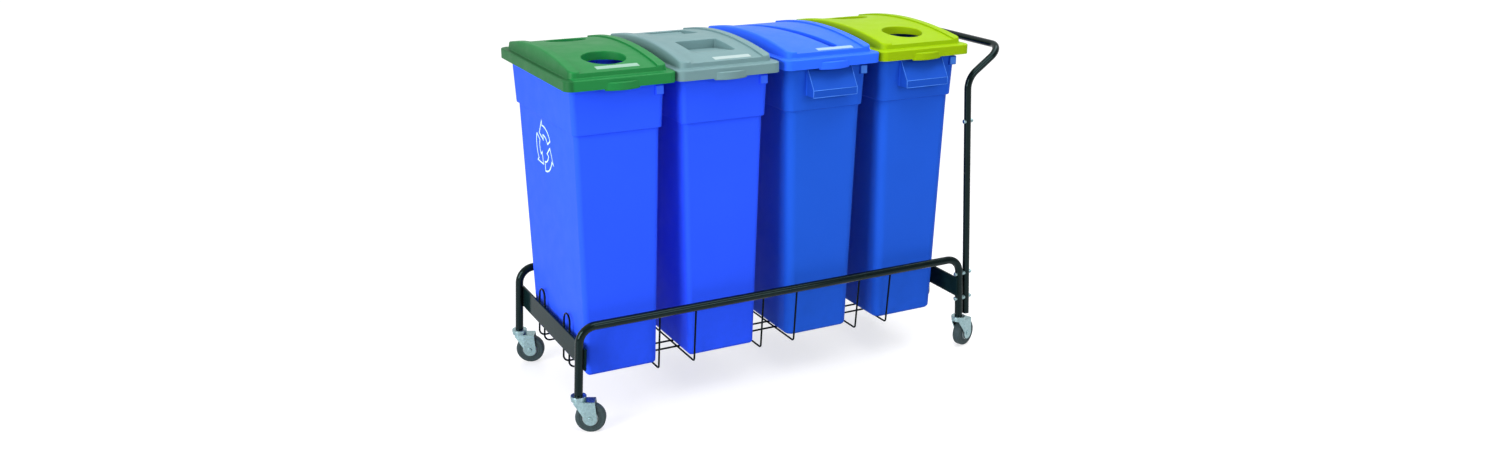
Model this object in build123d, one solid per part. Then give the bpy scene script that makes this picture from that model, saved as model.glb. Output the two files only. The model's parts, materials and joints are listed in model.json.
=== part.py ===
from build123d import *
import os
from math import cos, radians, sin, sqrt, tan

# Four-bin recycling trolley. Millimetres, Z up, floor at Z = 0, push handle at the +X end.
# Everything is drawn about the middle between the legs and shifted by MID_X when it is written out.

# Leg and rail tubes
LEG_SPAN = 1140.0
RAIL_SPAN = 472.0
LEG_FOOT_Z = 95.0
RAIL_Z = 269.5
SPLAY_DEG = 3.2
LEG_OD = 21.3
LEG_WALL = 1.6
RAIL_BEND = 42.0

# End bars, lap welded to the inner side of the legs
BAR_HEIGHT = 55.0
BAR_THICK = 5.0
BAR_MID = 94.0
BAR_LAND = 0.4
BAR_LAND_WIDE = 28.0

# Wire cradle
WIRE_D = 5.0
WIRE_PAIR_PITCH = 292.0
WIRE_PAIR_WIDTH = 99.0
WIRE_PAIR_MID = -5.0
WIRE_TOP_Y = 230.0
WIRE_FOOT_Y = 214.0
WIRE_BEND = 9.0
CROSS_UP = 17.0
LOOP_Y = 96.0
LOOP_WIDTH = 42.0
LOOP_TOP = 160.0
LOOP_BEND = 16.0
WELD_GAP = 0.02

# Push handle
POST_OD = 19.05
POST_WALL = 1.5
POST_STANDOFF = 4.4
POST_FOOT = 4.0
POST_TOP = 542.0
SPIGOT_LENGTH = 55.0
SPIGOT_WALL = 1.6
PLUG_DEPTH = 14.0
SLIP_FIT = 0.05
HANDLE_KNEE = 684.0
HANDLE_REACH = 95.0
HANDLE_Z = 857.0
KNEE_BEND = 56.0
GRIP_BEND = 46.0
HANDLE_BOLT_UP = 24.0

# Fasteners
BOLT_D = 6.0
BOLT_FIT = 0.1
BOLT_HEAD_D = 12.0
BOLT_HEAD_H = 4.0
NUT_FLATS = 10.0
NUT_H = 5.0
BOLT_END = 3.0
SPACER_D = 14.0
LOW_BOLT = 54.0
BOLT_CLEAR = 0.5

# Casters
WHEEL_D = 76.0
WHEEL_W = 24.0
TYRE_EDGE = 6.0
TYRE_GROOVE_D = 52.0
HUB_D = 39.0
HUB_W = 25.0
TRAIL = 28.0
RACE_D = 40.0
RACE_CUP = 6.5
RACE_GAP = 0.3
RACE_RING = 5.2
BALL_D = 4.8
BALL_CIRCLE = 27.0
BALL_COUNT = 10
BALL_FIT = 0.05
FORK_SHEET = 2.6
FORK_INSIDE = 29.0
FORK_EYE = 17.0
FORK_WEB_DEG = 8.0
FORK_BACK = -12.0
FORK_FRONT = 41.0
CROWN_THICK = 3.0
KING_D = 9.0
KING_HEAD_D = 16.0
KING_HEAD_H = 2.6
STEM_D = 11.0
STEM_UP = 38.0
SOCKET_UP = 44.0
AXLE_D = 8.0
AXLE_HEAD_D = 12.0
AXLE_HEAD_H = 2.4
SLEEVE_D = 12.0
RUN_FIT = 0.05
TRAIL_DEG = {"fl": -27.0, "rl": -27.0, "fr": 20.0, "rr": 27.0}

# Bins
BIN_X = (-437.5, -159.5, 129.0, 407.0)
BIN_REST_GAP = 0.3
BIN_HEIGHT = 752.0
BIN_FOOT_X = 187.0
BIN_FOOT_Y = 394.0
BODY_TOP_X = 214.5
BODY_TOP_Y = 428.5
COLLAR_Z = 617.5
COLLAR_STEP = 5.5
COLLAR_FLARE = 5.7
BIN_WALL = 3.0
BIN_CORNER = 12.0
SOFT_CORNER = 22.0
BIN_FOOT_EDGE = 10.0
RIM_FIT = 0.8
RIM_THICK = 3.0
RIM_DROP = 15.0
LUG_WIDE = 21.0
LUG_TALL = 23.0
LUG_PROUD = 4.5
LUG_IN = 5.0
LUG_DEEP = 26.0
LUG_TOP = 30.0
GRIP_WIDE = 127.0
GRIP_TOP = 16.0
GRIP_SLOPE = 60.0
GRIP_LIP = 19.0
GRIP_OUT = 38.0

# Lids
LID_X = 276.0
LID_Y = 509.0
LID_CORNER = 20.0
LID_SKIRT = 25.0
LID_WALL = 2.8
LID_EDGE = 3.0
LID_REST_GAP = 0.2
PANEL_FOOT_X = 246.0
PANEL_FOOT_Y = 470.0
PANEL_TOP_X = 231.0
PANEL_TOP_Y = 461.0
PANEL_CORNER = 16.0
PANEL_CROWN = 59.0
CROWN_RADIUS = 1252.0
BORDER_RISE = 4.0
BORDER_WIDE = 19.0
PANEL_EDGE = 4.5
PANEL_FOOT_EDGE = 3.0
TAB_WIDE = 76.0
TAB_OUT = 8.0
TAB_DROP = 5.0
TAB_TALL = 15.0
TAB_EDGE = 3.0
HOLE_D = 107.0
HOLE_Y = 135.0
HOLE_WALL = 3.0
HOLE_FOOT = 35.5
HOLE_EDGE = 2.0
SLOT_WIDE = 24.0
SLOT_LONG = 420.0
SLOT_TURN = 10.0
SLOT_MID = -8.0
SLOT_FOOT = 29.0
HATCH_X = 114.0
HATCH_IN = 50.0
HATCH_OUT = 163.0
HATCH_FOOT = 32.0
HATCH_CORNER = 5.0

# Hatch flaps
FLAP_SIDE_GAP = 1.2
FLAP_TIP_GAP = 1.5
FLAP_THICK = 3.0
FLAP_PIN_D = 5.0
FLAP_PIN_IN = 6.0
FLAP_PIN_Z = 40.0
FLAP_KNUCKLE_D = 9.0
FLAP_FALL_DEG = 5.0
FLAP_FIT = 0.05
PIN_FIT = 0.02

# Worked out from the sizes above
LEG_X = LEG_SPAN / 2
RAIL_Y = RAIL_SPAN / 2
LEG_R = LEG_OD / 2
POST_R = POST_OD / 2
WIRE_R = WIRE_D / 2
WHEEL_R = WHEEL_D / 2
SPLAY = radians(SPLAY_DEG)
MID_X = (HANDLE_REACH + POST_R - RACE_D / 2) / 2
POST_IN = LEG_R + POST_STANDOFF + POST_R
HIGH_BOLT = BAR_MID + BAR_HEIGHT / 2 + BOLT_HEAD_D / 2 + BOLT_CLEAR
CROSS_Z = LEG_FOOT_Z + CROSS_UP
LOOP_Z = CROSS_Z + WIRE_D + WELD_GAP
BIN_FOOT_Z = LOOP_Z + WIRE_R + BIN_REST_GAP
LID_Z = BIN_FOOT_Z + BIN_HEIGHT + LID_REST_GAP - LID_SKIRT + LID_WALL
CUP_FOOT = LEG_FOOT_Z - RACE_CUP
RING_TOP = CUP_FOOT - RACE_GAP
CROWN_TOP = RING_TOP - RACE_RING
CROWN_FOOT = CROWN_TOP - CROWN_THICK
BIG = 2000.0


def leg_frame(side, y):
    """Frame of a leg: z runs up the leg axis from its foot, x towards the +X end of the trolley."""
    return Location((side * LEG_X, y, LEG_FOOT_Z), (0, -side * SPLAY_DEG, 0))


def end_point(side, inward, up, y):
    """Point beside a leg: a distance inward from the leg axis and a height along it."""
    x = LEG_X - sin(SPLAY) * up - cos(SPLAY) * inward
    z = LEG_FOOT_Z + cos(SPLAY) * up - sin(SPLAY) * inward
    return (side * x, y, z)


def swept(path, radius, bore=0.0):
    """Round rod, or tube with a bore, along a path."""
    section = Circle(radius)
    if bore > 0:
        section -= Circle(bore)
    return sweep(Plane(origin=path @ 0, z_dir=path % 0) * section, path=path)


def upright(radius, z0, z1):
    """Cylinder on the local Z axis between two heights."""
    return Pos(0, 0, (z0 + z1) / 2) * Cylinder(radius, z1 - z0)


def along_x(radius, x0, x1):
    """Cylinder on the local X axis between two stations."""
    return Pos((x0 + x1) / 2, 0, 0) * Rot(0, 90, 0) * Cylinder(radius, x1 - x0)


def along_y(radius, y0, y1):
    """Cylinder on the local Y axis between two stations."""
    return Pos(0, (y0 + y1) / 2, 0) * Rot(90, 0, 0) * Cylinder(radius, y1 - y0)


def block(x0, x1, y0, y1, z0, z1):
    """Box between two corners."""
    return Pos((x0 + x1) / 2, (y0 + y1) / 2, (z0 + z1) / 2) * Box(x1 - x0, y1 - y0, z1 - z0)


def plate(x, y, corner, z0, z1):
    """Slab with rounded corners between two heights."""
    return extrude(Pos(0, 0, z0) * RectangleRounded(x, y, corner), amount=z1 - z0)


def taper(foot, top, corner, z0, z1):
    """Rounded block that changes size between two heights."""
    low = Pos(0, 0, z0) * RectangleRounded(foot[0], foot[1], corner)
    high = Pos(0, 0, z1) * RectangleRounded(top[0], top[1], corner)
    return loft([low, high], ruled=True)


# Side rails with their legs
BOLT_BORE = BOLT_D / 2 + BOLT_FIT
BOLT_UPS = (LOW_BOLT, HIGH_BOLT)


def side_rail(y):
    foot = end_point(1, 0, -8.0, y)
    knee_x = LEG_X - (RAIL_Z - LEG_FOOT_Z) * tan(SPLAY)
    knees = [(-knee_x, y, RAIL_Z), (knee_x, y, RAIL_Z)]
    path = FilletPolyline((-foot[0], y, foot[2]), *knees, foot, radius=RAIL_BEND)
    rail = swept(path, LEG_R, LEG_R - LEG_WALL)
    rail -= block(-BIG, BIG, -BIG, BIG, -BIG, LEG_FOOT_Z)
    for up in BOLT_UPS:
        rail -= leg_frame(1, y) * Pos(0, 0, up) * along_x(BOLT_BORE, -2 * LEG_R, 2 * LEG_R)
    return rail


def end_bar(side):
    half = RAIL_Y + LEG_R
    inside = LEG_R + BAR_THICK
    bar = block(LEG_R, inside, -half, half, -BAR_HEIGHT / 2, BAR_HEIGHT / 2)
    clear = half - BAR_LAND_WIDE
    bar += block(LEG_R - BAR_LAND, inside, -clear, clear, -BAR_HEIGHT / 2, BAR_HEIGHT / 2)
    if side > 0:
        bar = Rot(0, 0, 180) * bar
    return leg_frame(side, 0) * Pos(0, 0, BAR_MID) * bar


# Wire cradle
def cross_wire(x):
    ends = [(x, -WIRE_TOP_Y, RAIL_Z), (x, -WIRE_FOOT_Y, CROSS_Z)]
    ends += [(x, WIRE_FOOT_Y, CROSS_Z), (x, WIRE_TOP_Y, RAIL_Z)]
    wire = swept(FilletPolyline(*ends, radius=WIRE_BEND), WIRE_R)
    for y in (-RAIL_Y, RAIL_Y):
        wire -= Pos(0, y, RAIL_Z) * along_x(LEG_R, x - 30, x + 30)
        wire -= block(x - 30, x + 30, y - 20, y + 20, RAIL_Z, RAIL_Z + 30)
    return wire


def long_loop(mid):
    inward = LEG_R + BAR_THICK + WIRE_R + WELD_GAP
    low = (LOOP_Z - LEG_FOOT_Z + sin(SPLAY) * inward) / cos(SPLAY)
    half = LOOP_WIDTH / 2
    solid = None
    for turn in (-1, 1):
        y = mid + turn * half
        points = [end_point(-1, inward, LOOP_TOP, mid), end_point(-1, inward, LOOP_TOP, y)]
        points += [end_point(-1, inward, low, y), end_point(1, inward, low, y)]
        points += [end_point(1, inward, LOOP_TOP, y), end_point(1, inward, LOOP_TOP, mid)]
        bends = [half * 0.9, LOOP_BEND, LOOP_BEND, half * 0.9]
        wire = swept(FilletPolyline(*points, radius=bends), WIRE_R)
        solid = wire if solid is None else solid + wire
    return solid


# Push handle
def post(y):
    bore = POST_R - POST_WALL
    spigot = POST_R - POST_WALL - SLIP_FIT
    tube = upright(POST_R, POST_FOOT, POST_TOP) - upright(bore, POST_FOOT - 1, POST_TOP - PLUG_DEPTH)
    tube += upright(spigot, POST_TOP - 1, POST_TOP + SPIGOT_LENGTH)
    tube -= upright(spigot - SPIGOT_WALL, POST_TOP - PLUG_DEPTH - 1, POST_TOP + SPIGOT_LENGTH + 1)
    for up in (*BOLT_UPS, POST_TOP + HANDLE_BOLT_UP):
        tube -= Pos(0, 0, up) * along_x(BOLT_BORE, -2 * POST_R, 2 * POST_R)
    return leg_frame(1, y) * Pos(POST_IN, 0, 0) * tube


def handle():
    points = []
    for y in (-RAIL_Y, RAIL_Y):
        start = end_point(1, -POST_IN, POST_TOP + WELD_GAP, y)
        knee = end_point(1, -POST_IN, HANDLE_KNEE, y)
        leg = [start, knee, (LEG_X + HANDLE_REACH, y, HANDLE_Z)]
        points += leg if y < 0 else leg[::-1]
    bends = [KNEE_BEND, GRIP_BEND, GRIP_BEND, KNEE_BEND]
    tube = swept(FilletPolyline(*points, radius=bends), POST_R, POST_R - POST_WALL)
    for y in (-RAIL_Y, RAIL_Y):
        hole = along_x(BOLT_BORE, -2 * POST_R, 2 * POST_R)
        tube -= leg_frame(1, y) * Pos(POST_IN, 0, POST_TOP + HANDLE_BOLT_UP) * hole
    return tube


def bolt(x0, x1, r0):
    """Round-headed bolt along X, seated on a tube of radius r0 centred at x0, to the end x1."""
    head = along_x(BOLT_HEAD_D / 2, x0 - r0 - BOLT_HEAD_H, x0)
    head = fillet(head.edges().group_by(Axis.X)[0], BOLT_HEAD_H * 0.6)
    head -= Pos(x0, 0, 0) * Cylinder(r0, 60)
    return head + along_x(BOLT_D / 2, x0 - r0 - 1, x1)


def nut(x0, r0):
    """Hexagon nut along X, seated on a tube of radius r0 centred at x0."""
    body = extrude(RegularPolygon(NUT_FLATS / 2, 6, major_radius=False), amount=r0 + NUT_H)
    body = Pos(x0, 0, 0) * Rot(0, 90, 0) * body
    body -= Pos(x0, 0, 0) * Cylinder(r0, 60)
    return body - along_x(BOLT_D / 2, x0 - 1, x0 + r0 + NUT_H + 1)


def spacer():
    ring = along_x(SPACER_D / 2, 0, POST_IN) - along_x(BOLT_BORE, -1, POST_IN + 1)
    return ring - Cylinder(LEG_R, 60) - Pos(POST_IN, 0, 0) * Cylinder(POST_R, 60)


def per_post(make, ups):
    """One fastener at every listed height on both posts, as separate solids."""
    spots = [leg_frame(1, y) * Pos(0, 0, up) for y in (-RAIL_Y, RAIL_Y) for up in ups]
    return Compound(children=[spot * make() for spot in spots])


# Casters
LEGS = {"fl": (-1, -1), "fr": (1, -1), "rl": (-1, 1), "rr": (1, 1)}


def leg_foot(key):
    side, row = LEGS[key]
    return (side * LEG_X, row * RAIL_Y)


def leg_socket(key):
    side, row = LEGS[key]
    x, y = leg_foot(key)
    plug = leg_frame(side, row * RAIL_Y) * upright(LEG_R - LEG_WALL - PIN_FIT, -8, SOCKET_UP)
    plug -= block(-BIG, BIG, -BIG, BIG, -BIG, LEG_FOOT_Z)
    return plug - Pos(x, y, 0) * upright(STEM_D / 2 + PIN_FIT, LEG_FOOT_Z - 1, LEG_FOOT_Z + STEM_UP + 0.5)


def ball_groove():
    mid = (CUP_FOOT + RING_TOP) / 2
    deep = BALL_D / 2 + BALL_FIT
    groove = upright(BALL_CIRCLE / 2 + deep, mid - deep, mid + deep)
    return groove - upright(BALL_CIRCLE / 2 - deep, mid - deep - 1, mid + deep + 1)


def caster_stem(key):
    head_top = CROWN_FOOT - RACE_GAP
    cup = upright(RACE_D / 2, CUP_FOOT, LEG_FOOT_Z)
    cup = fillet(cup.edges().group_by(Axis.Z)[-1], 1.5)
    stem = cup - ball_groove()
    stem += upright(STEM_D / 2, LEG_FOOT_Z - 1, LEG_FOOT_Z + STEM_UP)
    stem += upright(KING_D / 2, head_top - 1, CUP_FOOT + 1)
    stem += upright(KING_HEAD_D / 2, head_top - KING_HEAD_H, head_top)
    x, y = leg_foot(key)
    return Pos(x, y, 0) * stem


def swivel_frame(key):
    x, y = leg_foot(key)
    return Location((x, y, 0), (0, 0, TRAIL_DEG[key]))


def fork(key):
    inside = FORK_INSIDE / 2
    outside = inside + FORK_SHEET
    fold = TRAIL - FORK_EYE + 1
    eye = Pos(TRAIL, WHEEL_R) * Circle(FORK_EYE)
    strip = Polygon(
        (fold, CROWN_TOP), (fold, WHEEL_R), (TRAIL + FORK_EYE, WHEEL_R), (FORK_FRONT, CROWN_TOP), align=None)
    web = Polygon(
        (FORK_BACK - fold, CROWN_TOP), (FORK_BACK - fold, CROWN_FOOT - 3), (0, WHEEL_R + 4),
        (1, WHEEL_R + 4), (1, CROWN_TOP), align=None)
    strip = Pos(0, FORK_SHEET, 0) * extrude(Plane.XZ * (eye + strip), amount=FORK_SHEET)
    web = Pos(0, FORK_SHEET, 0) * extrude(Plane.XZ * web, amount=FORK_SHEET)
    cheek = strip + Pos(fold, FORK_SHEET, 0) * Rot(0, 0, FORK_WEB_DEG) * Pos(0, -FORK_SHEET, 0) * web
    body = Pos(0, inside, 0) * cheek
    body += mirror(body, about=Plane.XZ)
    crown = block(fold, FORK_FRONT, -outside, outside, CROWN_FOOT, CROWN_TOP)
    nose = outside - (fold - FORK_BACK) * tan(radians(FORK_WEB_DEG))
    plan = Polygon(
        (fold, outside), (FORK_BACK, nose), (FORK_BACK, -nose), (fold, -outside), align=None)
    crown += extrude(Pos(0, 0, CROWN_FOOT) * plan, amount=CROWN_THICK)
    body += crown + upright(nose, CROWN_FOOT, CROWN_TOP)
    edges = [e for e in body.edges().filter_by(Axis.X) if e.center().Z > CROWN_TOP - 0.1]
    edges = [e for e in edges if abs(abs(e.center().Y) - outside) < 0.1]
    body = fillet(edges, FORK_SHEET * 0.8)
    body += upright(RACE_D / 2 - 1, CROWN_TOP - 1, RING_TOP) - ball_groove()
    body -= ball_groove()
    body -= upright(KING_D / 2 + RUN_FIT, 0, LEG_FOOT_Z)
    body -= Pos(TRAIL, 0, WHEEL_R) * along_y(AXLE_D / 2 + PIN_FIT, -40, 40)
    return swivel_frame(key) * body


def race_balls(key):
    mid = (CUP_FOOT + RING_TOP) / 2
    ball = Pos(BALL_CIRCLE / 2, 0, mid) * Sphere(BALL_D / 2)
    balls = [swivel_frame(key) * Rot(0, 0, i * 360 / BALL_COUNT) * ball for i in range(BALL_COUNT)]
    return Compound(children=balls)


def axle(key):
    reach = FORK_INSIDE / 2 + FORK_SHEET
    rod = along_y(AXLE_D / 2, -reach - 1, reach + 1)
    near = along_y(AXLE_HEAD_D / 2, -reach - AXLE_HEAD_H, -reach)
    near = fillet(near.edges().group_by(Axis.Y)[0], AXLE_HEAD_H * 0.7)
    far = along_y(AXLE_HEAD_D / 2, reach, reach + AXLE_HEAD_H)
    far = fillet(far.edges().group_by(Axis.Y)[-1], AXLE_HEAD_H * 0.7)
    return swivel_frame(key) * Pos(TRAIL, 0, WHEEL_R) * (rod + near + far)


def wheel_sleeve(key):
    half = FORK_INSIDE / 2 - RUN_FIT
    tube = along_y(SLEEVE_D / 2, -half, half) - along_y(AXLE_D / 2 + PIN_FIT, -half - 1, half + 1)
    return swivel_frame(key) * Pos(TRAIL, 0, WHEEL_R) * tube


def wheel_hub(key):
    half = HUB_W / 2
    hub = along_y(HUB_D / 2, -half, half)
    hub = fillet(hub.edges(), 1.0)
    hub -= along_y(SLEEVE_D / 2 + RUN_FIT, -half - 1, half + 1)
    return swivel_frame(key) * Pos(TRAIL, 0, WHEEL_R) * hub


def tyre(key):
    half = WHEEL_W / 2
    ring = along_y(WHEEL_R, -half, half)
    ring = fillet(ring.edges(), TYRE_EDGE)
    groove = along_y(TYRE_GROOVE_D / 2 + 1.5, half - 0.8, half + 1) - along_y(TYRE_GROOVE_D / 2, 0, half + 1)
    ring -= groove
    ring -= mirror(groove, about=Plane.XZ)
    ring -= along_y(HUB_D / 2, -half - 1, half + 1)
    return swivel_frame(key) * Pos(TRAIL, 0, WHEEL_R) * ring


# Bins
COLLAR_X = BODY_TOP_X + 2 * COLLAR_STEP
COLLAR_Y = BODY_TOP_Y + 2 * COLLAR_STEP
BRIM_X = COLLAR_X + 2 * COLLAR_FLARE
BRIM_Y = COLLAR_Y + 2 * COLLAR_FLARE
GRIP_FACE = BRIM_Y / 2 - 2.0


def hand_grip(row):
    top = BIN_HEIGHT - GRIP_TOP
    fold = top - GRIP_SLOPE
    foot = fold - GRIP_LIP
    face = GRIP_FACE
    back = face - 12
    outer = Polygon(
        (back, top), (face, top), (face + GRIP_OUT, fold), (face + GRIP_OUT, foot), (back, foot), align=None)
    drop = BIN_WALL * sqrt(GRIP_SLOPE ** 2 + GRIP_OUT ** 2) / GRIP_OUT
    out = GRIP_OUT - BIN_WALL
    low = foot - 1
    hollow = Polygon(
        (back, top - drop), (face, top - drop), (face + out, top - drop - GRIP_SLOPE * out / GRIP_OUT),
        (face + out, low), (back, low), align=None)
    half = GRIP_WIDE / 2
    solid = extrude(Plane.YZ * outer, amount=half, both=True)
    crest = [e for e in solid.edges().filter_by(Axis.X) if abs(e.center().Z - fold) < 0.1]
    solid = fillet(crest, 1.5)
    inner = half - BIN_WALL
    solid -= extrude(Plane.YZ * hollow, amount=inner, both=True)
    return solid if row > 0 else Rot(0, 0, 180) * solid


def bin_body(grips):
    wall = 2 * BIN_WALL
    corner = SOFT_CORNER if grips else BIN_CORNER
    body = taper((BIN_FOOT_X, BIN_FOOT_Y), (BODY_TOP_X, BODY_TOP_Y), corner, 0, COLLAR_Z)
    body = fillet(body.edges().group_by(Axis.Z)[0], BIN_FOOT_EDGE)
    collar = taper((COLLAR_X, COLLAR_Y), (BRIM_X, BRIM_Y), corner, COLLAR_Z, BIN_HEIGHT)
    collar = fillet(collar.edges().group_by(Axis.Z)[0], COLLAR_STEP * 0.4)
    shell = body + collar
    inset = 2 * (LID_WALL + RIM_FIT)
    rim_x = LID_X - inset
    rim_y = LID_Y - inset
    rim_corner = LID_CORNER - inset / 2
    rim_foot = BIN_HEIGHT - RIM_DROP
    rim = plate(rim_x, rim_y, rim_corner, rim_foot, BIN_HEIGHT)
    rim = fillet(rim.edges().group_by(Axis.Z)[-1], 1.5)
    rim -= plate(rim_x - wall, rim_y - wall, rim_corner - BIN_WALL, rim_foot - 1, BIN_HEIGHT - RIM_THICK)
    shell += rim
    right = BRIM_X / 2 - LUG_IN
    front = BRIM_Y / 2 + LUG_PROUD - 1
    lug_top = BIN_HEIGHT - LUG_TOP
    lug = block(right - LUG_WIDE, right, -front, LUG_DEEP - front, lug_top - LUG_TALL, lug_top)
    shell += fillet(lug.edges(), 2.0)
    if grips:
        shell += hand_grip(1) + hand_grip(-1)
    inside = (BODY_TOP_X - wall, BODY_TOP_Y - wall)
    step = COLLAR_Z + BIN_WALL
    hollow = taper((BIN_FOOT_X - wall, BIN_FOOT_Y - wall), inside, corner - BIN_WALL, BIN_WALL, step)
    hollow = fillet(hollow.edges().group_by(Axis.Z)[0], BIN_FOOT_EDGE - BIN_WALL)
    past = 2.0
    grow = 2 * COLLAR_FLARE * past / (BIN_HEIGHT - step)
    brim = (BRIM_X - wall + grow, BRIM_Y - wall + grow)
    mouth = taper((COLLAR_X - wall, COLLAR_Y - wall), brim, corner - BIN_WALL, step, BIN_HEIGHT + past)
    return shell - hollow - mouth


# Lids
def vault(drop):
    """Solid under the arched top, lowered by a drop from the recessed panel."""
    return Pos(0, 0, PANEL_CROWN - CROWN_RADIUS) * along_x(CROWN_RADIUS - drop, -400, 400)


def near_level(shape, z):
    """Edges that lie at one height, in two lists: those of the panel's foot and those outside it."""
    level = [e for e in shape.edges() if abs(e.center().Z - z) < 0.05]
    inside = [e for e in level if abs(e.center().X) < PANEL_FOOT_X / 2 + 1
              and abs(e.center().Y) < PANEL_FOOT_Y / 2 + 1]
    return inside, [e for e in level if e not in inside]


def lift_tab():
    radius = (TAB_WIDE ** 2 / 4 + TAB_OUT ** 2) / (2 * TAB_OUT)
    disc = fillet(upright(radius, -TAB_DROP, TAB_TALL).edges(), TAB_EDGE)
    disc = Pos(0, radius - LID_Y / 2 - TAB_OUT, 0) * disc
    return disc & block(-BIG, BIG, -BIG, LID_WALL - LID_Y / 2, -BIG, BIG)


def lid_shell():
    wall = 2 * LID_WALL
    roof = PANEL_CROWN + 20
    foot = (PANEL_FOOT_X, PANEL_FOOT_Y)
    top = (PANEL_TOP_X, PANEL_TOP_Y)
    panel = taper(foot, top, PANEL_CORNER, LID_SKIRT - 1, roof) & vault(-BORDER_RISE)
    panel = fillet(panel.faces().sort_by(Axis.Z)[-1].edges(), PANEL_EDGE)
    trough = block(-PANEL_TOP_X / 2 + BORDER_WIDE, PANEL_TOP_X / 2 - BORDER_WIDE, -LID_Y, LID_Y, 0, roof + 9)
    panel -= trough - vault(0)
    shell = plate(LID_X, LID_Y, LID_CORNER, 0, LID_SKIRT) + panel
    shell = fillet(near_level(shell, LID_SKIRT)[0], PANEL_FOOT_EDGE)
    shell = fillet(near_level(shell, LID_SKIRT)[1], LID_EDGE)
    hollow = plate(LID_X - wall, LID_Y - wall, LID_CORNER - LID_WALL, -20, LID_SKIRT - LID_WALL)
    inner = taper((foot[0] - wall, foot[1] - wall), (top[0] - wall, top[1] - wall), PANEL_CORNER - LID_WALL,
                  LID_SKIRT - LID_WALL - 1, roof)
    hollow += inner & vault(LID_WALL)
    return shell + lift_tab() + Rot(0, 0, 180) * lift_tab() - hollow


def soft_mouth(shell, mids, reach):
    """Rounds the upper edges of the openings whose middles are listed."""
    rims = []
    for e in shell.edges():
        c = e.center()
        beside = any(abs(c.X - x) < reach[0] and abs(c.Y - y) < reach[1] for x, y in mids)
        if beside and c.Z > PANEL_CROWN - c.Y ** 2 / (2 * CROWN_RADIUS) - 1.5:
            rims.append(e)
    return fillet(rims, HOLE_EDGE)


def lined_cut(shell, outside, inside):
    """Opening with a wall hung below it: the wall shape and the clear shape are both tall prisms."""
    return shell + (outside & vault(0.4)) - inside


def lid_round():
    shell = lid_shell()
    for y in (-HOLE_Y, HOLE_Y):
        wall = Pos(0, y, 0) * upright(HOLE_D / 2 + HOLE_WALL, HOLE_FOOT, 2 * PANEL_CROWN)
        shell = lined_cut(shell, wall, Pos(0, y, 0) * upright(HOLE_D / 2, 0, 2 * PANEL_CROWN))
    return soft_mouth(shell, [(0, -HOLE_Y), (0, HOLE_Y)], (HOLE_D / 2 + 1, HOLE_D / 2 + 1))


def lid_slot():
    turn = Rot(0, 0, SLOT_TURN + 90)
    wide = SLOT_WIDE + 2 * HOLE_WALL
    long = SLOT_LONG + 2 * HOLE_WALL
    wall = extrude(Pos(SLOT_MID, 0, SLOT_FOOT) * turn * SlotOverall(long, wide), amount=PANEL_CROWN)
    clear = extrude(Pos(SLOT_MID, 0, 0) * turn * SlotOverall(SLOT_LONG, SLOT_WIDE), amount=2 * PANEL_CROWN)
    shell = lined_cut(lid_shell(), wall, clear)
    reach = (PANEL_TOP_X / 2 - BORDER_WIDE - 2, SLOT_LONG / 2)
    return soft_mouth(shell, [(0, 0)], reach)


PIN_Y = HATCH_OUT - FLAP_PIN_IN


def lid_hatch():
    shell = lid_shell()
    half = HATCH_X / 2
    grow = HOLE_WALL
    mid = (HATCH_IN + HATCH_OUT) / 2
    long = HATCH_OUT - HATCH_IN
    for row in (-1, 1):
        wall = plate(HATCH_X + 2 * grow, long + 2 * grow, HATCH_CORNER + grow, HATCH_FOOT, 2 * PANEL_CROWN)
        clear = plate(HATCH_X, long, HATCH_CORNER, 0, 2 * PANEL_CROWN)
        shell = lined_cut(shell, Pos(0, row * mid, 0) * wall, Pos(0, row * mid, 0) * clear)
        bore = along_x(FLAP_PIN_D / 2 + PIN_FIT, -half - 2 * grow, half + 2 * grow)
        shell -= Pos(0, row * PIN_Y, FLAP_PIN_Z) * bore
    return soft_mouth(shell, [(0, -mid), (0, mid)], (half + 1, long / 2 + 1))


def flap(row):
    half = HATCH_X / 2 - FLAP_SIDE_GAP
    long = PIN_Y - HATCH_IN - FLAP_TIP_GAP
    short = half - HATCH_CORNER / 2
    knuckle = along_x(FLAP_KNUCKLE_D / 2, -short, short)
    top = FLAP_KNUCKLE_D / 2
    leaf = block(-half, half, 0, long, top - FLAP_THICK, top)
    leaf = fillet(leaf.edges().filter_by(Axis.Z), HATCH_CORNER)
    body = Rot(-FLAP_FALL_DEG, 0, 0) * leaf + knuckle
    body -= along_x(FLAP_PIN_D / 2 + FLAP_FIT, -half - 1, half + 1)
    if row > 0:
        body = Rot(0, 0, 180) * body
    return Pos(0, row * PIN_Y, FLAP_PIN_Z) * body


def flap_pins():
    half = HATCH_X / 2 + HOLE_WALL
    return Compound(children=[Pos(0, r * PIN_Y, FLAP_PIN_Z) * along_x(FLAP_PIN_D / 2, -half, half) for r in (-1, 1)])


# Every node of the assembly
nodes = {
    "front_rail": side_rail(-RAIL_Y),
    "rear_rail": side_rail(RAIL_Y),
    "left_end_bar": end_bar(-1),
    "right_end_bar": end_bar(1),
    "front_long_wire": long_loop(-LOOP_Y),
    "rear_long_wire": long_loop(LOOP_Y),
    "front_post": post(-RAIL_Y),
    "rear_post": post(RAIL_Y),
    "handle_bar": handle(),
    "leg_sockets": Compound(children=[leg_socket(k) for k in LEGS]),
    "caster_stems": Compound(children=[caster_stem(k) for k in LEGS]),
}
for i in range(6):
    x = WIRE_PAIR_MID + (i // 2 - 1) * WIRE_PAIR_PITCH + (i % 2 - 0.5) * WIRE_PAIR_WIDTH
    nodes[f"cross_wire_{i + 1}"] = cross_wire(x)
POST_END = POST_IN + POST_R + NUT_H + BOLT_END
nodes["post_bolts"] = per_post(lambda: bolt(0, POST_END, LEG_R), BOLT_UPS)
nodes["post_nuts"] = per_post(lambda: nut(POST_IN, POST_R), BOLT_UPS)
nodes["post_spacers"] = per_post(spacer, BOLT_UPS)
JOINT_UP = (POST_TOP + HANDLE_BOLT_UP,)
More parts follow.
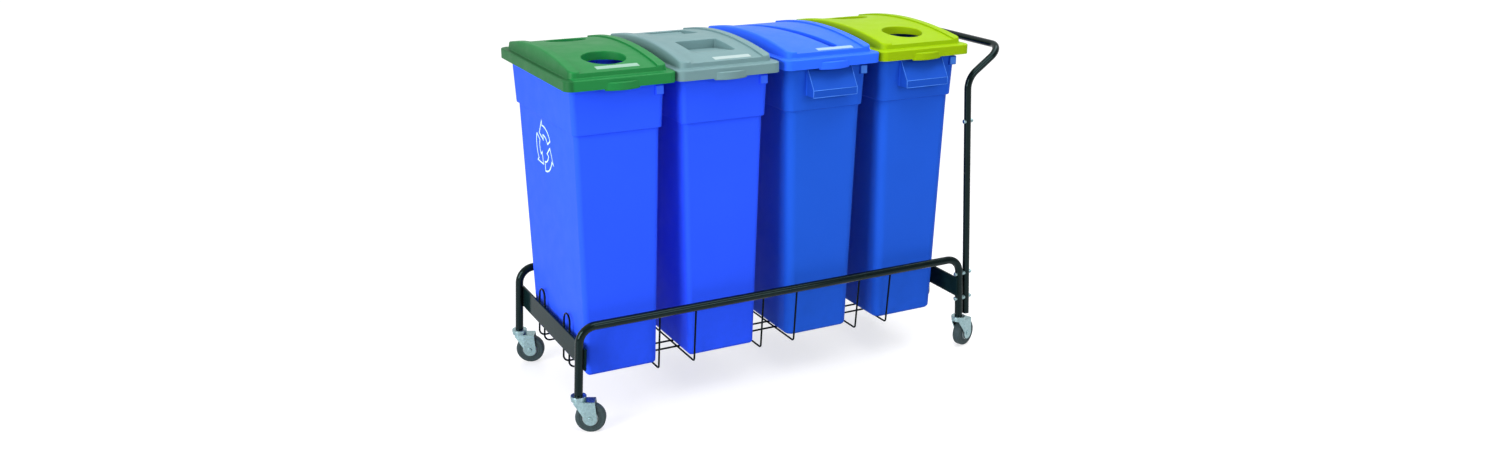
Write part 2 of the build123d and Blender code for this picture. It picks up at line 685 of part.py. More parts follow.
nodes["handle_bolts"] = per_post(lambda: bolt(POST_IN, POST_END, POST_R), JOINT_UP)
nodes["handle_nuts"] = per_post(lambda: nut(POST_IN, POST_R), JOINT_UP)
for key in LEGS:
    nodes[f"fork_{key}"] = fork(key)
    nodes[f"race_balls_{key}"] = race_balls(key)
    nodes[f"axle_{key}"] = axle(key)
    nodes[f"wheel_sleeve_{key}"] = wheel_sleeve(key)
    nodes[f"wheel_hub_{key}"] = wheel_hub(key)
    nodes[f"tyre_{key}"] = tyre(key)
for i, x in enumerate(BIN_X):
    nodes[f"bin_{i + 1}"] = Pos(x, 0, BIN_FOOT_Z) * bin_body(i > 1)
for i, make in enumerate((lid_round, lid_hatch, lid_slot, lid_round)):
    nodes[f"lid_{i + 1}"] = Pos(BIN_X[i], 0, LID_Z) * make()
for name, piece in (("flap_front", flap(-1)), ("flap_rear", flap(1)), ("flap_pins", flap_pins())):
    nodes[name] = Pos(BIN_X[1], 0, LID_Z) * piece

os.makedirs("parts", exist_ok=True)
for name, piece in nodes.items():
    export_step(piece.moved(Location((-MID_X, 0, 0))), f"parts/{name}.step")

# Places that the joints and mounts refer to
print("shift", MID_X)
print("leg feet", [(k, leg_foot(k)[0] - MID_X, leg_foot(k)[1]) for k in LEGS])
print("bins", [x - MID_X for x in BIN_X], BIN_FOOT_Z, "lids", LID_Z)
print("flap pins", BIN_X[1] - MID_X, PIN_Y, LID_Z + FLAP_PIN_Z)
print("left bar face", end_point(-1, LEG_R - BAR_LAND, BAR_MID, 0))
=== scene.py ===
import json
import math
import random

import bpy
from mathutils import Matrix, Vector


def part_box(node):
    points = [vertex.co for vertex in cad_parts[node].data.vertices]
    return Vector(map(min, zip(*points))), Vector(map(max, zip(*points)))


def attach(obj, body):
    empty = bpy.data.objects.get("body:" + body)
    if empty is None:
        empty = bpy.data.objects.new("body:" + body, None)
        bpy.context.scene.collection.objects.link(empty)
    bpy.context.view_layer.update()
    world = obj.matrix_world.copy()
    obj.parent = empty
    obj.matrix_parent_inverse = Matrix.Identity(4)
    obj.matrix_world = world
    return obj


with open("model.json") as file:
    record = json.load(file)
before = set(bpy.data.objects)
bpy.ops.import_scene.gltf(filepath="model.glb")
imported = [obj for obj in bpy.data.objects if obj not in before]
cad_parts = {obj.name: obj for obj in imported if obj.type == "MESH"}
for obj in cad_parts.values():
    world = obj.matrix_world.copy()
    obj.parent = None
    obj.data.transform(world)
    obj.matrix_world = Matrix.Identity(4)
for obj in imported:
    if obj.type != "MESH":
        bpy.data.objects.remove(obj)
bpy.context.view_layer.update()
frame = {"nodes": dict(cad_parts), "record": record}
nodes = frame["nodes"]
MM = 0.001

# Counts and sizes repeated from the part that no node's box shows: millimetres, and the splay in radians
CROSS_WIRES, BINS = 6, 4
SPLAY = math.radians(3.2)
BAR_THICK = 5.0
BAR_MID = 94.0
BAR_HALF = 27.5
LID_TAB_DROP = 5.0
PANEL_CROWN = 59.0
PANEL_TOP_X = 231.0
CROWN_RADIUS = 1252.0
BIN_FOOT_X = 187.0
BODY_TOP_X = 214.5
COLLAR_Z = 617.5
BRIM_X = 236.9
BRIM_Y = 450.9
LUG_IN, LUG_WIDE, LUG_TALL, LUG_TOP, LUG_OUT = 5.0, 21.0, 23.0, 30.0, 3.5
GRIP_HALF, GRIP_TOP, GRIP_SLOPE, GRIP_LIP, GRIP_IN = 63.5, 16.0, 60.0, 19.0, 2.0


# Places and sizes read from the frame, in millimetres
def box_mm(node):
    """Lowest and highest corner of a CAD node."""
    low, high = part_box(node)
    return low / MM, high / MM


def middle_x(node):
    """Middle of a CAD node along the trolley."""
    low, high = box_mm(node)
    return (low.x + high.x) / 2


rail_low, rail_high = box_mm("front_rail")
wire_low, wire_high = box_mm("cross_wire_1")
bin_low, bin_high = box_mm("bin_1")
MID_X = -middle_x("front_rail")
RAIL_Y = -(rail_low.y + rail_high.y) / 2
LEG_R = (rail_high.y - rail_low.y) / 2
LEG_X = (rail_high.x - rail_low.x) / 2 - LEG_R / math.cos(SPLAY)
LEG_FOOT_Z = rail_low.z
WIRE_X = [middle_x(f"cross_wire_{i}") for i in range(1, CROSS_WIRES + 1)]
WIRE_R = (wire_high.x - wire_low.x) / 2
WIRE_FOOT_Z = wire_low.z
LOOP_Y = []
for node in ("front_long_wire", "rear_long_wire"):
    low, high = box_mm(node)
    LOOP_Y += [low.y + WIRE_R, high.y - WIRE_R]
BIN_X = [middle_x(f"bin_{i}") for i in range(1, BINS + 1)]
BIN_FOOT_Z = bin_low.z
BIN_TOP_Z = bin_high.z
GRIP_FACE_Y = box_mm("bin_3")[1].y
LID_Z = box_mm("lid_1")[0].z + LID_TAB_DROP


# Materials, with lengths in metres
NOISE_LOW, NOISE_HIGH = 0.3, 0.7
MIX_A, MIX_B, MIX_RESULT = 6, 7, 2
DUST_LOW_Z, DUST_HIGH_Z, DUST_SHADE = 0.11, 0.36, 0.55
# Painted shade on the green lid's left side: fade width and darkening
SIDE_FADE, SIDE_SHADE = 0.006, 0.56
# Painted shade on the hand grips: fade width and darkening
GRIP_FADE, GRIP_SHADE = 0.004, 0.72


class Paint:
    """A node material: helpers add nodes and link them."""

    def __init__(self, name):
        self.mat = bpy.data.materials.new(name)
        self.mat.use_nodes = True
        self.tree = self.mat.node_tree
        self.tree.nodes.clear()
        self.out = self.add("ShaderNodeOutputMaterial")
        self.bsdf = self.add("ShaderNodeBsdfPrincipled")
        self.link(self.bsdf.outputs[0], self.out.inputs[0])
        self.coords = self.add("ShaderNodeTexCoord").outputs["Object"]

    def add(self, kind, **sockets):
        """A new node, with values for its inputs: an underscore stands for a space in their names."""
        node = self.tree.nodes.new(kind)
        for name, value in sockets.items():
            node.inputs[name.replace("_", " ")].default_value = value
        return node

    def link(self, a, b):
        self.tree.links.new(a, b)

    def set(self, **sockets):
        """Values for the shader's own inputs, named as in add."""
        for name, value in sockets.items():
            self.bsdf.inputs[name.replace("_", " ")].default_value = value

    def scaled(self, scale):
        """Object coordinates stretched along each axis."""
        node = self.add("ShaderNodeMapping")
        node.inputs["Scale"].default_value = scale
        self.link(self.coords, node.inputs["Vector"])
        return node.outputs[0]

    def noise(self, scale, detail=3.0, rough=0.5, coords=None):
        """Noise on the object coordinates, or on those given."""
        node = self.add("ShaderNodeTexNoise", Scale=scale, Detail=detail, Roughness=rough)
        self.link(coords or self.coords, node.inputs["Vector"])
        return node.outputs["Fac"]

    def span(self, value, low, high, to_low, to_high):
        """Maps the range from low to high onto the one from to_low to to_high."""
        node = self.add("ShaderNodeMapRange")
        for i, v in enumerate((low, high, to_low, to_high)):
            node.inputs[i + 1].default_value = v
        self.link(value, node.inputs[0])
        return node.outputs[0]

    def vary(self, noise, to_low, to_high):
        """Stretches the middle of a noise to a range."""
        return self.span(noise, NOISE_LOW, NOISE_HIGH, to_low, to_high)

    def times(self, a, b):
        node = self.add("ShaderNodeMath")
        node.operation = "MULTIPLY"
        self.link(a, node.inputs[0])
        self.link(b, node.inputs[1])
        return node.outputs[0]

    def blend(self, fac, a, b):
        """Mixes two colours, each a tuple or a socket."""
        node = self.add("ShaderNodeMix")
        node.data_type = "RGBA"
        self.link(fac, node.inputs[0])
        for socket, value in ((node.inputs[MIX_A], a), (node.inputs[MIX_B], b)):
            if isinstance(value, tuple):
                socket.default_value = (*value, 1.0)
            else:
                self.link(value, socket)
        return node.outputs[MIX_RESULT]

    def bump(self, heights):
        """Chains bumps: a list of (height, strength, distance in metres)."""
        last = None
        for height, strength, distance in heights:
            node = self.add("ShaderNodeBump", Strength=strength, Distance=distance)
            self.link(height, node.inputs["Height"])
            if last:
                self.link(last, node.inputs["Normal"])
            last = node.outputs[0]
        self.link(last, self.bsdf.inputs["Normal"])

    def axis(self, index):
        """One of the object coordinates in metres: 0, 1 or 2 for x, y or z."""
        node = self.add("ShaderNodeSeparateXYZ")
        self.link(self.coords, node.inputs[0])
        return node.outputs[index]


def shade(color, k):
    """A colour made darker or lighter by a factor."""
    return tuple(min(1.0, c * k) for c in color)


def plastic(name, color, rough=(0.48, 0.58), gloss=0.5, tint=(1.0, 1.0, 1.0), dust=0.0, shaded_grip_y=0.0,
            shaded_side_x=0.0):
    """Moulded plastic: faint colour drift, fine grain and soft sink waves.

    Dust low down is added where dust is given, and painted shade where a grip depth or a side x is given:
    darker beyond that depth on grips standing out, and beyond that x on the side.
    """
    p = Paint(name)
    base = p.blend(p.vary(p.noise(3.5), 0.0, 1.0), shade(color, 0.96), shade(color, 1.03))
    if dust:
        low = p.span(p.axis(2), DUST_LOW_Z, DUST_HIGH_Z, dust, 0.0)
        spots = p.span(p.noise(38.0, detail=6.0, rough=0.65), 0.35, 0.75, 0.1, 1.0)
        base = p.blend(p.times(low, spots), base, shade(color, DUST_SHADE))
    # Painted shade: the side beyond the given x is made darker
    if shaded_side_x:
        side = p.span(p.axis(0), shaded_side_x - SIDE_FADE, shaded_side_x, 1.0, 0.0)
        base = p.blend(side, base, shade(color, SIDE_SHADE))
    # Painted shade: grips standing out beyond the given depth are made darker
    if shaded_grip_y:
        shaded_grip = p.span(p.axis(1), -shaded_grip_y - GRIP_FADE, -shaded_grip_y, 1.0, 0.0)
        base = p.blend(shaded_grip, base, shade(color, GRIP_SHADE))
    p.link(base, p.bsdf.inputs["Base Color"])
    p.link(p.vary(p.noise(24.0, detail=5.0, rough=0.6), *rough), p.bsdf.inputs["Roughness"])
    p.bump([(p.noise(9.0, detail=2.0), 0.10, 0.0010), (p.noise(900.0, detail=2.0), 0.07, 0.00025)])
    p.set(IOR=1.47, Specular_IOR_Level=gloss, Specular_Tint=(*tint, 1.0))
    return p.mat


def powder_coat(name, color, gloss):
    """Powder coat on steel: orange peel and worn, paler patches."""
    p = Paint(name)
    patches = p.span(p.noise(22.0, detail=5.0, rough=0.6), 0.45, 0.8, 0.0, 1.0)
    p.link(p.blend(patches, color, shade(color, 1.6)), p.bsdf.inputs["Base Color"])
    p.link(p.vary(p.noise(60.0, detail=4.0), 0.07, 0.14), p.bsdf.inputs["Roughness"])
    p.bump([(p.noise(420.0, detail=2.0), 0.08, 0.0003), (p.noise(60.0, detail=2.0), 0.05, 0.0006)])
    p.set(IOR=1.5, Specular_IOR_Level=gloss, Specular_Tint=(0.6, 1.0, 1.0, 1.0))
    return p.mat


def zinc(name, color, rough=(0.24, 0.42)):
    """Bright zinc plate: crystal patches, rolling lines and dull spots."""
    p = Paint(name)
    base = p.blend(p.vary(p.noise(160.0, detail=4.0), 0.0, 1.0), shade(color, 0.82), shade(color, 1.08))
    tarnish = p.span(p.noise(55.0, detail=6.0, rough=0.7), 0.55, 0.8, 0.0, 0.45)
    p.link(p.blend(tarnish, base, shade(color, 0.55)), p.bsdf.inputs["Base Color"])
    p.link(p.vary(p.noise(240.0, detail=4.0), *rough), p.bsdf.inputs["Roughness"])
    p.bump([(p.noise(1.0, coords=p.scaled((200.0, 200.0, 1500.0))), 0.06, 0.0002)])
    p.set(Metallic=1.0)
    return p.mat


def rubber(name, color):
    """Grey rubber: dull, dusty, with fine pits."""
    p = Paint(name)
    dusty = p.span(p.noise(70.0, detail=6.0, rough=0.65), 0.4, 0.75, 0.0, 0.45)
    p.link(p.blend(dusty, color, shade(color, 1.6)), p.bsdf.inputs["Base Color"])
    p.link(p.vary(p.noise(130.0), 0.55, 0.75), p.bsdf.inputs["Roughness"])
    p.bump([(p.noise(700.0), 0.2, 0.0003)])
    p.set(Specular_IOR_Level=0.3)
    return p.mat


def paper(name, color):
    """Blank printed strip, plain print or floor card: faint fibre and rubbed ink."""
    p = Paint(name)
    fibre = p.span(p.noise(260.0, detail=5.0, rough=0.7), 0.3, 0.75, 0.0, 1.0)
    p.link(p.blend(fibre, shade(color, 0.88), color), p.bsdf.inputs["Base Color"])
    p.link(p.vary(p.noise(90.0), 0.38, 0.52), p.bsdf.inputs["Roughness"])
    p.bump([(p.noise(500.0), 0.08, 0.0002)])
    return p.mat


BLUE_SHEEN = (0.3, 0.8, 1.0)
# Painted shade on the deep bins' hand grips starts just beyond the brim
GRIP_SHADE_OUT = 1.0
GRIP_SHADE_Y = (BRIM_Y / 2 + GRIP_SHADE_OUT) * MM
# Painted shade begins at the green lid's left flank
GREEN_SHADED_SIDE_X = (BIN_X[0] - PANEL_TOP_X / 2) * MM
BLACK = powder_coat("black_coat", (0.0022, 0.0050, 0.0050), 0.17)
WIRE = powder_coat("wire_coat", (0.0010, 0.0026, 0.0026), 0.05)
BAR = powder_coat("bar_coat", (0.0040, 0.0140, 0.0150), 0.03)
WELD = powder_coat("weld_coat", (0.0028, 0.0056, 0.0056), 0.17)
ZINC = zinc("zinc", (0.27, 0.40, 0.42))
STEEL = zinc("bearing_steel", (0.52, 0.53, 0.54), (0.14, 0.26))
NYLON = plastic("nylon", (0.03, 0.03, 0.032))
HUB = plastic("hub_plastic", (0.28, 0.33, 0.34), (0.4, 0.55))
RUBBER = rubber("grey_rubber", (0.028, 0.048, 0.052))
BIN_BRIGHT = plastic("bin_blue_bright", (0.024, 0.092, 0.97), gloss=0.06, tint=BLUE_SHEEN, dust=0.25)
# The deep bins carry painted shade on their hand grips
BIN_DEEP = plastic("bin_blue_deep", (0.014, 0.096, 0.64), gloss=0.12, tint=BLUE_SHEEN, dust=0.25,
                   shaded_grip_y=GRIP_SHADE_Y)
# The green lid carries painted shade on its left flank and skirt
LID_GREEN = plastic("lid_green", (0.005, 0.172, 0.036), gloss=0.24, shaded_side_x=GREEN_SHADED_SIDE_X)
LID_GREY = plastic("lid_grey", (0.134, 0.238, 0.250), gloss=0.28)
LID_BLUE = plastic("lid_blue", (0.022, 0.122, 0.95), gloss=0.24, tint=BLUE_SHEEN)
LID_LIME = plastic("lid_lime", (0.255, 0.415, 0.0003), gloss=0.08)
# Paler blues for the lug faces; the deep one also paints the highlights on the grip edges
BRIGHT_EDGE = plastic("edge_on_bright", (0.042, 0.145, 0.97), gloss=0.1, tint=BLUE_SHEEN)
DEEP_EDGE = plastic("edge_on_deep", (0.070, 0.235, 0.80), gloss=0.1, tint=BLUE_SHEEN)
STRIP_GREEN = paper("strip_on_green", (0.23, 0.42, 0.32))
STRIP_GREY = paper("strip_on_grey", (0.35, 0.46, 0.46))
STRIP_BLUE = paper("strip_on_blue", (0.26, 0.42, 0.62))
PRINT = paper("pale_print", (0.60, 0.84, 0.92))

slot_paint = {
    "black_coat": BLACK, "zinc": ZINC, "bearing_steel": STEEL, "nylon": NYLON, "hub_plastic": HUB,
    "grey_rubber": RUBBER, "bin_blue_bright": BIN_BRIGHT, "bin_blue_deep": BIN_DEEP, "lid_green": LID_GREEN,
    "lid_grey": LID_GREY, "lid_blue": LID_BLUE, "lid_lime": LID_LIME,
}


def node_paint(part):
    """The slot's paint, with duller coats on the wires and the flat end bars."""
    if "_wire" in part["node"]:
        return WIRE
    if "_end_bar" in part["node"]:
        return BAR
    return slot_paint[part["material_slot"]]


for part in frame["record"]["subparts"]:
    data = nodes[part["node"]].data
    data.materials.clear()
    data.materials.append(node_paint(part))


# Helpers for added pieces
def piece(name, verts, faces, mat, body, smooth=True):
    """Makes a mesh from points in millimetres, riding on a body."""
    mesh = bpy.data.meshes.new(name)
    mesh.from_pydata([Vector(v) * MM for v in verts], [], faces)
    mesh.update()
    if smooth:
        mesh.polygons.foreach_set("use_smooth", [True] * len(mesh.polygons))
    mesh.materials.append(mat)
    obj = bpy.data.objects.new(name, mesh)
    bpy.context.scene.collection.objects.link(obj)
    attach(obj, body)


def end_point(side, inward, up, y):
    """Point beside a leg, as in the part: inward from the leg axis, and up along it."""
    x = LEG_X - math.sin(SPLAY) * up - math.cos(SPLAY) * inward
    z = LEG_FOOT_Z + math.cos(SPLAY) * up - math.sin(SPLAY) * inward
    return Vector((side * x - MID_X, y, z))


# Weld beads
class Beads:
    """Collects small squashed balls into one mesh."""

    RINGS = 7
    SEGMENTS = 12
    ROUGH = 0.10
    WOBBLE = 0.25

    def __init__(self, seed):
        self.verts, self.faces = [], []
        self.rand = random.Random(seed)

    def add(self, mid, radii):
        """One ball with uneven sides."""
        start = len(self.verts)
        rough = [1 + self.rand.uniform(-self.ROUGH, self.ROUGH) for _ in range(self.SEGMENTS)]
        for i in range(self.RINGS + 1):
            a = math.pi * i / self.RINGS
            for j in range(self.SEGMENTS):
                b = 2 * math.pi * j / self.SEGMENTS
                v = Vector((math.sin(a) * math.cos(b), math.sin(a) * math.sin(b), math.cos(a))) * rough[j]
                self.verts.append(Vector(mid) + Vector((v.x * radii[0], v.y * radii[1], v.z * radii[2])))
        for i in range(self.RINGS):
            for j in range(self.SEGMENTS):
                k = (j + 1) % self.SEGMENTS
                low = start + i * self.SEGMENTS
                high = low + self.SEGMENTS
                self.faces.append((low + j, high + j, high + k, low + k))

    def run(self, a, b, radii, steps):
        """A row of balls from a to b, each a little out of line."""
        for i in range(steps + 1):
            wobble = Vector([self.rand.uniform(-self.WOBBLE, self.WOBBLE) for _ in range(3)])
            self.add(a.lerp(b, i / steps) + wobble, radii)


WELD_SEED = 4
WIRE_WELD_IN, WIRE_WELD_DOWN, WIRE_WELD = 2.43, 2.93, (4.6, 3.6, 2.6)
CROSS_WELD = (3.0, 3.0, 1.5)
LOOP_WELD_OUT, LOOP_WELD = 1.4, (2.2, 4.4, 3.0)
BAR_WELD_OFF, BAR_WELD_SINK, BAR_WELD_END = 5.6, 0.6, 3.0
BAR_WELD, BAR_WELD_STEPS = (1.5, 2.2, 2.4), 18
beads = Beads(WELD_SEED)
for x in WIRE_X:
    for row in (-1, 1):
        beads.add((x, row * (wire_high.y - WIRE_WELD_IN), wire_high.z - WIRE_WELD_DOWN), WIRE_WELD)
    for y in LOOP_Y:
        beads.add((x, y, WIRE_FOOT_Z + 2 * WIRE_R), CROSS_WELD)
for side in (-1, 1):
    for y in LOOP_Y:
        for up in (BAR_MID - BAR_HALF, BAR_MID + BAR_HALF):
            beads.add(end_point(side, LEG_R + BAR_THICK + LOOP_WELD_OUT, up, y), LOOP_WELD)
    for row in (-1, 1):
        for off in (-BAR_WELD_OFF, BAR_WELD_OFF):
            y = row * RAIL_Y + off
            low = end_point(side, LEG_R - BAR_WELD_SINK, BAR_MID - BAR_HALF + BAR_WELD_END, y)
            high = end_point(side, LEG_R - BAR_WELD_SINK, BAR_MID + BAR_HALF - BAR_WELD_END, y)
            beads.run(low, high, BAR_WELD, BAR_WELD_STEPS)
piece("weld_beads", beads.verts, beads.faces, WELD, "frame")

# Blank label strips on the lids
STRIP_THICK, STRIP_SINK = 0.45, 0.15
STRIP_ACROSS, STRIP_ALONG = 8, 6


def crown_z(y):
    """Height of the lids' arched top at a place from front to rear."""
    return LID_Z + PANEL_CROWN - CROWN_RADIUS + math.sqrt(CROWN_RADIUS ** 2 - y ** 2)


def label_strip(name, lid, left, right, near, far, mat):
    """A thin closed sheet on a lid's crown: left and right from the lid's middle, near and far along y."""
    row = STRIP_ACROSS + 1
    layer = row * (STRIP_ALONG + 1)
    verts, faces = [], []
    for level in (-STRIP_SINK, STRIP_THICK):
        for j in range(STRIP_ALONG + 1):
            for i in range(row):
                x = BIN_X[lid] + left + (right - left) * i / STRIP_ACROSS
                y = near + (far - near) * j / STRIP_ALONG
                verts.append((x, y, crown_z(y) + level))
    for j in range(STRIP_ALONG):
        for i in range(STRIP_ACROSS):
            a = j * row + i
            b, c, d = a + 1, a + row + 1, a + row
            faces.append((layer + a, layer + b, layer + c, layer + d))
            faces.append((a, d, c, b))
    rim = list(range(STRIP_ACROSS)) + [STRIP_ACROSS + j * row for j in range(STRIP_ALONG)]
    rim += [STRIP_ALONG * row + STRIP_ACROSS - i for i in range(STRIP_ACROSS)]
    rim += [(STRIP_ALONG - j) * row for j in range(STRIP_ALONG)]
    for a, b in zip(rim, rim[1:] + rim[:1]):
        faces.append((a, b, layer + b, layer + a))
    piece(name, verts, faces, mat, f"lid_{lid + 1}", smooth=False)


label_strip("label_green", 0, left=-48.0, right=58.0, near=-218.0, far=-199.0, mat=STRIP_GREEN)
label_strip("label_grey", 1, left=-28.0, right=70.0, near=-224.0, far=-206.0, mat=STRIP_GREY)
label_strip("label_blue", 2, left=-31.0, right=72.0, near=-226.0, far=-210.0, mat=STRIP_BLUE)

# Ring of three outlined arrows, a plain mark on the first bin's left face
RING_Y, RING_Z = 21.0, 655.0
RING_IN, RING_OUT, RING_HEAD = 34.0, 58.0, 12.0
RING_START, RING_NECK, RING_TIP = 30.0, 66.0, 102.0
RING_ARROWS, RING_STEPS = 3, 12
RING_STROKE, RING_LIFT = 4.0, 0.25
MITRE_LEAST = 0.45
FACE_LEAN = (BODY_TOP_X - BIN_FOOT_X) / 2 / COLLAR_Z


def face_point(u, v):
    """Point just off the left face: u towards the front and v up from the ring's middle."""
    z = RING_Z + v
    x = BIN_X[0] - BIN_FOOT_X / 2 - FACE_LEAN * (z - BIN_FOOT_Z)
    return (x - RING_LIFT, RING_Y - u, z)


def arrow_outline(start):
    """Closed outline of one curved arrow from a start angle in degrees, as (u, v) points."""
    neck, tip = start + RING_NECK, start + RING_TIP
    arc = [start + RING_NECK * i / RING_STEPS for i in range(RING_STEPS + 1)]
    line = [(RING_OUT, a) for a in arc]
    line += [(RING_OUT + RING_HEAD, neck), ((RING_IN + RING_OUT) / 2, tip), (RING_IN - RING_HEAD, neck)]
    line += [(RING_IN, a) for a in reversed(arc)]
    return [(r * math.cos(math.radians(a)), r * math.sin(math.radians(a))) for r, a in line]


def stroke(points, width, verts, faces):
    """Adds a closed flat line of that width along the points."""
    count = len(points)
    start = len(verts)
    for i in range(count):
        p, q, r = (Vector(points[(i + d) % count]) for d in (-1, 0, 1))
        a, b = (q - p).normalized(), (r - q).normalized()
        n = Vector((-(a + b).y, (a + b).x)).normalized()
        reach = width / 2 / max(MITRE_LEAST, n.dot(Vector((-a.y, a.x))))
        for side in (-1, 1):
            w = q + n * reach * side
            verts.append(face_point(w.x, w.y))
    for i in range(count):
        k = (i + 1) % count
        faces.append((start + 2 * i, start + 2 * i + 1, start + 2 * k + 1, start + 2 * k))


verts, faces = [], []
for i in range(RING_ARROWS):
    stroke(arrow_outline(RING_START + 360 * i / RING_ARROWS), RING_STROKE, verts, faces)
piece("arrow_ring", verts, faces, PRINT, "bin_1", smooth=False)

# Paler faces of the collar lugs, and painted highlights along the edges of the hand grips
LUG_EDGE, LUG_FACE_OUT, LUG_FACE_SINK = 2.0, 0.25, 0.3
EDGE_R, EDGE_SINK, EDGE_DROP = 0.8, 0.3, 0.5
ROD_SIDES = 8
LUG_LOOKS = 2 * [(BRIGHT_EDGE, "bin_blue_bright")] + 2 * [(DEEP_EDGE, "bin_blue_deep")]
GRIP_BINS = (2, 3)


def slab(low, high, verts, faces):
    """Adds a box between two corners."""
    start = len(verts)
    verts += [(x, y, z) for z in (low[2], high[2]) for y in (low[1], high[1]) for x in (low[0], high[0])]
    for face in ((0, 2, 3, 1), (4, 5, 7, 6), (0, 1, 5, 4), (2, 6, 7, 3), (0, 4, 6, 2), (1, 3, 7, 5)):
        faces.append(tuple(start + i for i in face))


def rod(a, b, verts, faces):
    """Adds a thin round line with closed ends between two points."""
    a, b = Vector(a), Vector(b)
    along = (b - a).normalized()
    side = along.orthogonal().normalized()
    up = along.cross(side)
    start = len(verts)
    for end in (a, b):
        for i in range(ROD_SIDES):
            t = 2 * math.pi * i / ROD_SIDES
            verts.append(end + (side * math.cos(t) + up * math.sin(t)) * EDGE_R)
    for i in range(ROD_SIDES):
        k = (i + 1) % ROD_SIDES
        faces.append((start + i, start + k, start + ROD_SIDES + k, start + ROD_SIDES + i))
    faces.append(tuple(start + i for i in reversed(range(ROD_SIDES))))
    faces.append(tuple(start + ROD_SIDES + i for i in range(ROD_SIDES)))


for i, (mat, slot) in enumerate(LUG_LOOKS):
    verts, faces = [], []
    right = BIN_X[i] + BRIM_X / 2 - LUG_IN
    front = -BRIM_Y / 2 - LUG_OUT
    top = BIN_TOP_Z - LUG_TOP
    low = (right - LUG_WIDE + LUG_EDGE, front - LUG_FACE_OUT, top - LUG_TALL + LUG_EDGE)
    high = (right - LUG_EDGE, front + LUG_FACE_SINK, top - LUG_EDGE)
    slab(low, high, verts, faces)
    piece(f"lug_face_{i + 1}", verts, faces, mat, f"bin_{i + 1}", smooth=False)
# Painted highlights: thin pale rods along the grips' edges
for i in GRIP_BINS:
    verts, faces = [], []
    top = BIN_TOP_Z - GRIP_TOP
    fold = top - GRIP_SLOPE
    foot = fold - GRIP_LIP
    near = BRIM_Y / 2 - GRIP_IN
    far = GRIP_FACE_Y - EDGE_SINK
    left, right = (BIN_X[i] + side * (GRIP_HALF - EDGE_SINK) for side in (-1, 1))
    for row in (-1, 1):
        for x in (left, right):
            rod((x, row * near, top), (x, row * far, fold), verts, faces)
            rod((x, row * far, fold), (x, row * far, foot), verts, faces)
        for z in (fold - EDGE_DROP, foot + EDGE_SINK):
            rod((left, row * far, z), (right, row * far, z), verts, faces)
    piece(f"grip_edge_highlights_{i + 1}", verts, faces, DEEP_EDGE, f"bin_{i + 1}")

# Floor: pale, and lifted to white only where the camera or a reflection sees it
FLOOR_HALF = 30.0
FLOOR_COLOR = (0.46, 0.46, 0.46)
FLOOR_LIFT = 0.6
WHITE = (1.0, 1.0, 1.0, 1.0)
floor_mat = paper("floor", FLOOR_COLOR)
tree = floor_mat.node_tree
glow = tree.nodes["Principled BSDF"].inputs
glow["Emission Color"].default_value = WHITE
rays = tree.nodes.new("ShaderNodeLightPath").outputs
lift = rays["Is Camera Ray"]
for ray in ("Is Glossy Ray", "Is Transmission Ray"):
    either = tree.nodes.new("ShaderNodeMath")
    either.operation = "MAXIMUM"
    tree.links.new(lift, either.inputs[0])
    tree.links.new(rays[ray], either.inputs[1])
    lift = either.outputs[0]
level = tree.nodes.new("ShaderNodeMath")
level.operation = "MULTIPLY"
level.inputs[1].default_value = FLOOR_LIFT
tree.links.new(lift, level.inputs[0])
tree.links.new(level.outputs[0], glow["Emission Strength"])
mesh = bpy.data.meshes.new("floor")
corners = [(x * FLOOR_HALF, y * FLOOR_HALF, 0.0) for x, y in ((-1, -1), (1, -1), (1, 1), (-1, 1))]
mesh.from_pydata(corners, [], [(0, 1, 2, 3)])
mesh.materials.append(floor_mat)
floor = bpy.data.objects.new("floor", mesh)
bpy.context.scene.collection.objects.link(floor)

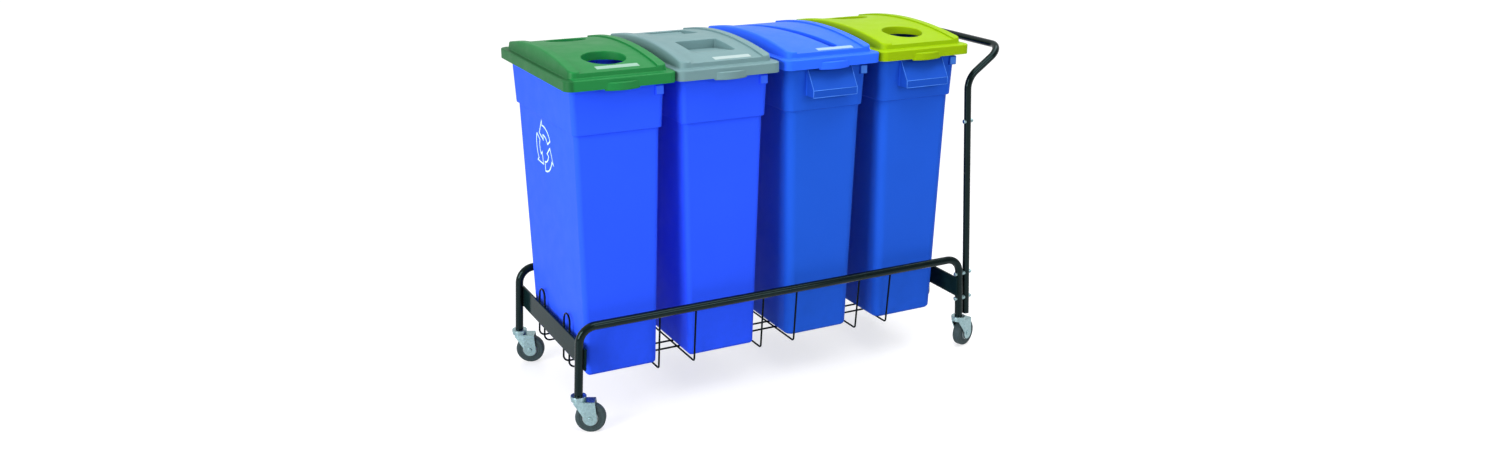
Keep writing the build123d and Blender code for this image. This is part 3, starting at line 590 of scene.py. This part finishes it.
# Light: a white sweep behind, dimmer on the camera's side, and softboxes above, to the left and in front
SWEEP_FRONT, SWEEP_BACK = -0.75, 0.2
SWEEP_DIM, SWEEP_FULL = 0.30, 1.0
world = bpy.data.worlds.new("studio")
bpy.context.scene.world = world
world.use_nodes = True
tree = world.node_tree
background = tree.nodes["Background"]
background.inputs["Color"].default_value = WHITE
towards = tree.nodes.new("ShaderNodeTexCoord")
split = tree.nodes.new("ShaderNodeSeparateXYZ")
sweep = tree.nodes.new("ShaderNodeMapRange")
for i, value in enumerate((SWEEP_FRONT, SWEEP_BACK, SWEEP_DIM, SWEEP_FULL)):
    sweep.inputs[i + 1].default_value = value
tree.links.new(towards.outputs["Generated"], split.inputs[0])
tree.links.new(split.outputs["Y"], sweep.inputs[0])
tree.links.new(sweep.outputs[0], background.inputs["Strength"])


def softbox(name, place, aim, size, power):
    """A rectangular lamp, with places and sizes in metres and power in watts."""
    light = bpy.data.lights.new(name, "AREA")
    light.shape = "RECTANGLE"
    light.size, light.size_y = size
    light.energy = power
    obj = bpy.data.objects.new(name, light)
    obj.location = place
    obj.rotation_euler = (Vector(aim) - Vector(place)).to_track_quat("-Z", "Y").to_euler()
    bpy.context.scene.collection.objects.link(obj)


softbox("overhead", place=(0.7, -0.6, 3.0), aim=(0.2, -0.1, 0.3), size=(3.4, 1.4), power=66.0)
softbox("key", place=(-3.6, -1.2, 1.6), aim=(-0.3, 0.0, 0.5), size=(2.0, 2.0), power=132.0)
softbox("fill", place=(1.2, -3.8, 1.9), aim=(0.1, 0.0, 0.5), size=(1.8, 1.2), power=44.0)

# Camera, as solved from the photograph: millimetres from the middle between the legs, and radians
CAMERA_X, CAMERA_Y, CAMERA_Z = -1487.3, -2905.4, 1439.0
YAW, PITCH, ROLL = 0.4797, 0.3131, -0.0028
LENS_MM, SENSOR_MM = 30.130, 36.0
CLIP_END_M = 100.0
camera_data = bpy.data.cameras.new("camera")
camera_data.sensor_fit = "HORIZONTAL"
camera_data.sensor_width = SENSOR_MM
camera_data.lens = LENS_MM
camera_data.clip_end = CLIP_END_M
camera = bpy.data.objects.new("camera", camera_data)
turn = Matrix.Rotation(-YAW, 4, "Z") @ Matrix.Rotation(math.pi / 2 - PITCH, 4, "X")
turn = turn @ Matrix.Rotation(-ROLL, 4, "Z")
camera.matrix_world = Matrix.Translation(Vector((CAMERA_X - MID_X, CAMERA_Y, CAMERA_Z)) * MM) @ turn
bpy.context.scene.collection.objects.link(camera)
bpy.context.scene.camera = camera
bpy.context.scene.view_settings.view_transform = "Standard"

bpy.context.view_layer.update()
